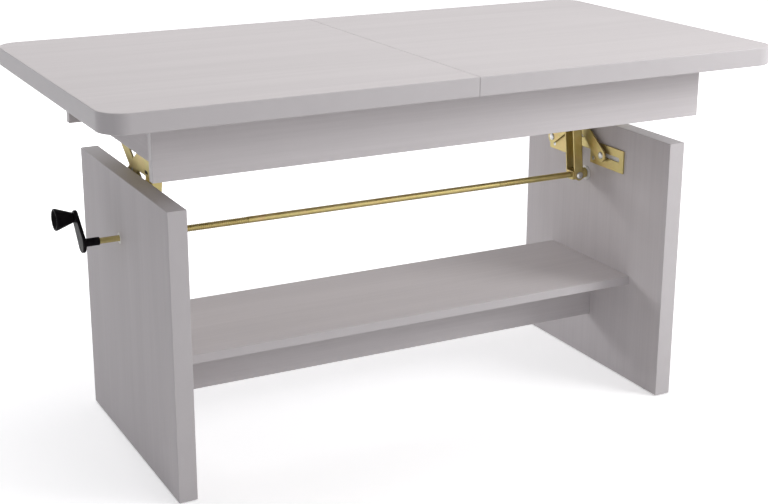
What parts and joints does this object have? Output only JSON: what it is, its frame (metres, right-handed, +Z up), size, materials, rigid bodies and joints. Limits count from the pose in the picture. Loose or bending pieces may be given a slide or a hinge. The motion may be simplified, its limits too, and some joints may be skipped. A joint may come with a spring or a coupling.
{
  "type": "extending coffee table",
  "caption": "Extending coffee table on two side panels with a shelf, a crank-driven scissor lift and a split top that slides apart over a stored folding leaf.",
  "frame": {"origin": "on the floor, under the middle of the closed top", "axes": "+X along the table's length, away from the crank; +Y to the back; +Z up"},
  "size_m": [1.22, 0.65, 0.672],
  "materials": {
    "laminate": "pale grey wood-grain laminate on chipboard",
    "beech": "plain sanded beech",
    "black_plastic": "moulded black plastic",
    "bright_steel": "bright zinc plated steel",
    "nylon": "white nylon",
    "yellow_zinc_steel": "yellow zinc plated steel"
  },
  "bodies": {
    "base": {"side_panel_right": "laminate", "side_panel_left": "laminate", "shelf": "laminate", "shelf_rail": "laminate", "shelf_dowels": "beech", "foot_glides": "black_plastic", "wall_plate_right": "yellow_zinc_steel", "wall_plate_left": "yellow_zinc_steel", "wall_plate_screws": "bright_steel", "base_rivets": "bright_steel", "spindle_bushes": "nylon"},
    "frame": {"apron_front": "laminate", "apron_back": "laminate", "end_apron_right": "laminate", "end_apron_left": "laminate", "cross_rail_right": "laminate", "cross_rail_left": "laminate", "frame_dowels": "beech", "slide_guide_front": "bright_steel", "slide_guide_back": "bright_steel", "leaf_lower": "laminate", "leaf_upper": "laminate", "leaf_battens": "beech", "leaf_hinge_plates": "bright_steel", "leaf_hinge_pins": "bright_steel", "upper_plate_right": "yellow_zinc_steel", "upper_plate_left": "yellow_zinc_steel", "lever_bracket_right": "yellow_zinc_steel", "lever_bracket_left": "yellow_zinc_steel", "frame_plate_screws": "bright_steel"},
    "half_right": {"top_half_right": "laminate", "slide_runner_front_right": "nylon", "slide_runner_back_right": "nylon", "runner_screws_right": "bright_steel"},
    "half_left": {"top_half_left": "laminate", "slide_runner_front_left": "nylon", "slide_runner_back_left": "nylon", "runner_screws_left": "bright_steel", "seam_dowels": "beech"},
    "crank_spindle": {"spindle": "yellow_zinc_steel", "spindle_collars": "yellow_zinc_steel", "crank": "black_plastic", "crank_knob_pin": "bright_steel"},
    "crank_knob": {"crank_knob": "black_plastic"},
    "arm_a_right": {"scissor_arm_a_right": "yellow_zinc_steel", "arm_a_rivets_right": "bright_steel"},
    "arm_b_right": {"scissor_arm_b_right": "yellow_zinc_steel", "arm_b_rivets_right": "bright_steel"},
    "trunnion_right": {"trunnion_right": "yellow_zinc_steel", "trunnion_bolts_right": "bright_steel"},
    "lever_right": {"lever_right": "yellow_zinc_steel", "lever_pin_right": "bright_steel"},
    "arm_a_left": {"scissor_arm_a_left": "yellow_zinc_steel", "arm_a_rivets_left": "bright_steel"},
    "arm_b_left": {"scissor_arm_b_left": "yellow_zinc_steel", "arm_b_rivets_left": "bright_steel"},
    "trunnion_left": {"trunnion_left": "yellow_zinc_steel", "trunnion_bolts_left": "bright_steel"},
    "lever_left": {"lever_left": "yellow_zinc_steel", "lever_pin_left": "bright_steel"}
  },
  "joints": [
    {"name": "top_lift", "type": "slide", "parent": "base", "child": "frame", "axis": [0, 0, 1], "range_m": [-0.048, 0]},
    {"name": "half_right_slide", "type": "slide", "parent": "frame", "child": "half_right", "axis": [1, 0, 0], "range_m": [0, 0.2]},
    {"name": "half_left_slide", "type": "slide", "parent": "frame", "child": "half_left", "axis": [-1, 0, 0], "range_m": [0, 0.2]},
    {"name": "crank_turn", "type": "hinge", "parent": "base", "child": "crank_spindle", "pos_m": [0, 0.025, 0.379], "axis": [1, 0, 0], "range_deg": [0, 2064]},
    {"name": "knob_spin", "type": "hinge", "parent": "crank_spindle", "child": "crank_knob", "pos_m": [-0.5575, 0.06, 0.415], "axis": [1, 0, 0], "continuous": true},
    {"name": "arm_a_right_swing", "type": "hinge", "parent": "base", "child": "arm_a_right", "pos_m": [0.4515, 0.1355, 0.428], "axis": [1, 0, 0], "range_deg": [0, 14.88]},
    {"name": "arm_b_right_swing", "type": "hinge", "parent": "arm_a_right", "child": "arm_b_right", "pos_m": [0.448, 0.04975, 0.488], "axis": [1, 0, 0], "range_deg": [-29.74, 0]},
    {"name": "trunnion_right_travel", "type": "slide", "parent": "base", "child": "trunnion_right", "axis": [-1, 0, 0], "range_m": [0, 0.16047]},
    {"name": "lever_right_swing", "type": "hinge", "parent": "trunnion_right", "child": "lever_right", "pos_m": [0.434, 0.025, 0.379], "axis": [0, 1, 0], "range_deg": [0, 43.34]},
    {"name": "arm_a_left_swing", "type": "hinge", "parent": "base", "child": "arm_a_left", "pos_m": [-0.4515, 0.1355, 0.428], "axis": [1, 0, 0], "range_deg": [0, 14.88]},
    {"name": "arm_b_left_swing", "type": "hinge", "parent": "arm_a_left", "child": "arm_b_left", "pos_m": [-0.448, 0.04975, 0.488], "axis": [1, 0, 0], "range_deg": [-29.74, 0]},
    {"name": "trunnion_left_travel", "type": "slide", "parent": "base", "child": "trunnion_left", "axis": [1, 0, 0], "range_m": [0, 0.16047]},
    {"name": "lever_left_swing", "type": "hinge", "parent": "trunnion_left", "child": "lever_left", "pos_m": [-0.434, 0.025, 0.379], "axis": [0, -1, 0], "range_deg": [0, 43.34]}
  ],
  "couplings": [
    {"joint": "crank_turn", "follows": "top_lift", "rad_per_m": -750.13},
    {"joint": "arm_a_right_swing", "follows": "top_lift", "rad_per_m": -5.4037},
    {"joint": "arm_b_right_swing", "follows": "top_lift", "rad_per_m": 10.807},
    {"joint": "trunnion_right_travel", "follows": "top_lift", "ratio": -3.3428},
    {"joint": "lever_right_swing", "follows": "top_lift", "rad_per_m": -15.753},
    {"joint": "arm_a_left_swing", "follows": "top_lift", "rad_per_m": -5.4037},
    {"joint": "arm_b_left_swing", "follows": "top_lift", "rad_per_m": 10.807},
    {"joint": "trunnion_left_travel", "follows": "top_lift", "ratio": -3.3428},
    {"joint": "lever_left_swing", "follows": "top_lift", "rad_per_m": -15.753}
  ]
}
